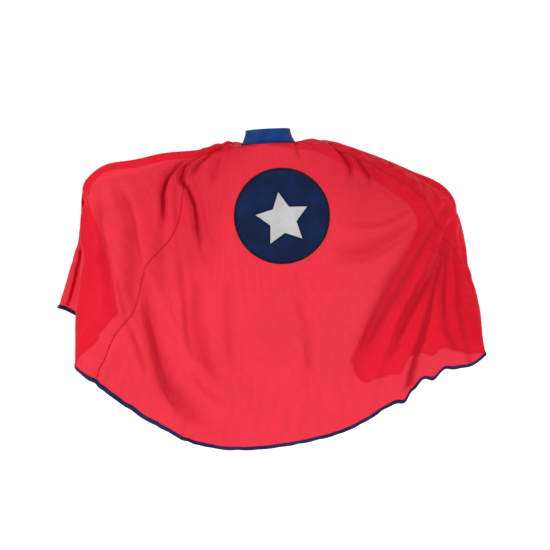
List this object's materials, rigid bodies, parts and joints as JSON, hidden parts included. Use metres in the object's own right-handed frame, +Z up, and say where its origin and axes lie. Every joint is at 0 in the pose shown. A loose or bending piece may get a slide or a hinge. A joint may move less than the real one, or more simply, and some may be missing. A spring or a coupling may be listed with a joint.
{
  "type": "superhero cape",
  "caption": "Child's satin superhero cape with stand collar, bound curved hem and a round star emblem on the back, draped as worn with the arms spread.",
  "frame": {"origin": "centre of the neckline seam ring, where the cape hangs from the wearer's neck", "axes": "+Z up, +Y the way the wearer faces, +X to the wearer's right"},
  "size_m": [0.9083, 0.205, 0.6689],
  "materials": {
    "red_satin": "lightweight satin, softly glossy, slightly translucent",
    "seam_tape": "matt woven tape",
    "navy_binding": "satin bias tape",
    "blue_patch": "matt felted twill",
    "dark_thread": "glossy satin stitch",
    "star_felt": "matt felt",
    "blue_collar": "matt knit",
    "interfacing": "matt non-woven",
    "hook_and_loop": "matt pile",
    "label": "smooth ribbon"
  },
  "bodies": {
    "cape": {"left_side_panel": "red_satin", "back_panel": "red_satin", "right_side_panel": "red_satin", "left_edge_facing": "red_satin", "right_edge_facing": "red_satin", "left_seam_tape": "seam_tape", "right_seam_tape": "seam_tape", "hem_binding": "navy_binding", "neck_binding": "navy_binding", "patch_disc": "blue_patch", "patch_border": "dark_thread", "star_applique": "star_felt", "star_border": "dark_thread", "collar_lining": "blue_collar", "collar_interfacing": "interfacing", "collar_outer": "blue_collar", "loop_patch": "hook_and_loop", "care_label": "label"},
    "collar_tab": {"tab_lining": "blue_collar", "tab_outer": "blue_collar", "hook_patch": "hook_and_loop"}
  },
  "joints": [
    {"name": "tab_hinge", "type": "hinge", "parent": "cape", "child": "collar_tab", "pos_m": [-0.0008, 0.0487, 0.0135], "axis": [0, 0, -1], "range_deg": [0, 110]}
  ]
}
